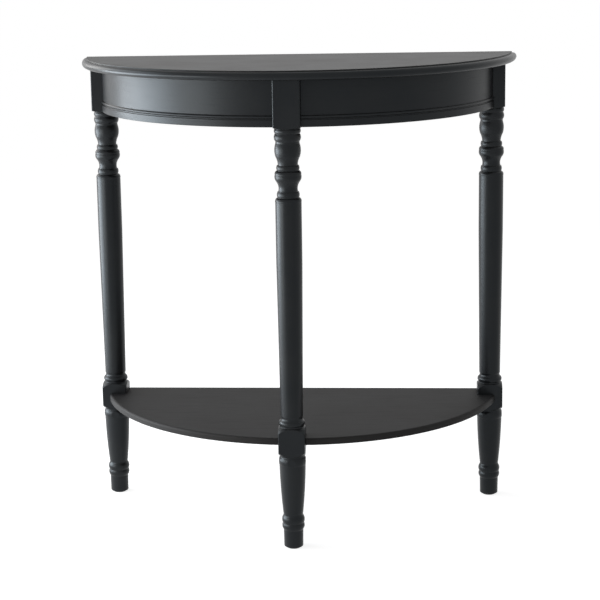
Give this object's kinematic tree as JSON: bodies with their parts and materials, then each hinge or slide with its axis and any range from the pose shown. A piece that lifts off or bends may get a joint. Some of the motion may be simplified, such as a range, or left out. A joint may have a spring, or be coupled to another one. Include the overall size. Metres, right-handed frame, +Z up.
{
  "type": "demilune table",
  "caption": "Half-round console table with turned legs, a moulded curved apron and a half-round lower shelf, made to stand against a wall.",
  "frame": {"origin": "on the floor, under the middle of the table's box", "axes": "+X to the right as seen from the front, +Y towards the wall behind the table, +Z up; the top's straight back edge is the farthest in +Y"},
  "size_m": [0.8, 0.3673, 0.8325],
  "materials": {
    "top_paint": "satin black paint",
    "apron_paint": "satin black paint",
    "rail_paint": "satin black paint",
    "leg_paint": "satin black paint",
    "shelf_paint": "satin black paint",
    "raw_wood": "planed, unfinished",
    "dowel_wood": "fluted, unfinished",
    "zinc_steel": "zinc plated",
    "glide_plastic": "matte"
  },
  "bodies": {
    "root": {"table_top": "top_paint", "left_apron": "apron_paint", "right_apron": "apron_paint", "back_rail": "rail_paint", "front_leg": "leg_paint", "left_rear_leg": "leg_paint", "right_rear_leg": "leg_paint", "shelf": "shelf_paint", "left_corner_block": "raw_wood", "right_corner_block": "raw_wood", "front_brace_block": "raw_wood", "apron_dowels": "dowel_wood", "back_rail_dowels": "dowel_wood", "shelf_dowels": "dowel_wood", "hanger_bolts": "zinc_steel", "hanger_bolt_washers": "zinc_steel", "hanger_bolt_nuts": "zinc_steel", "top_fixing_screws": "zinc_steel", "front_foot_glide": "glide_plastic", "left_foot_glide": "glide_plastic", "right_foot_glide": "glide_plastic"}
  },
  "joints": []
}
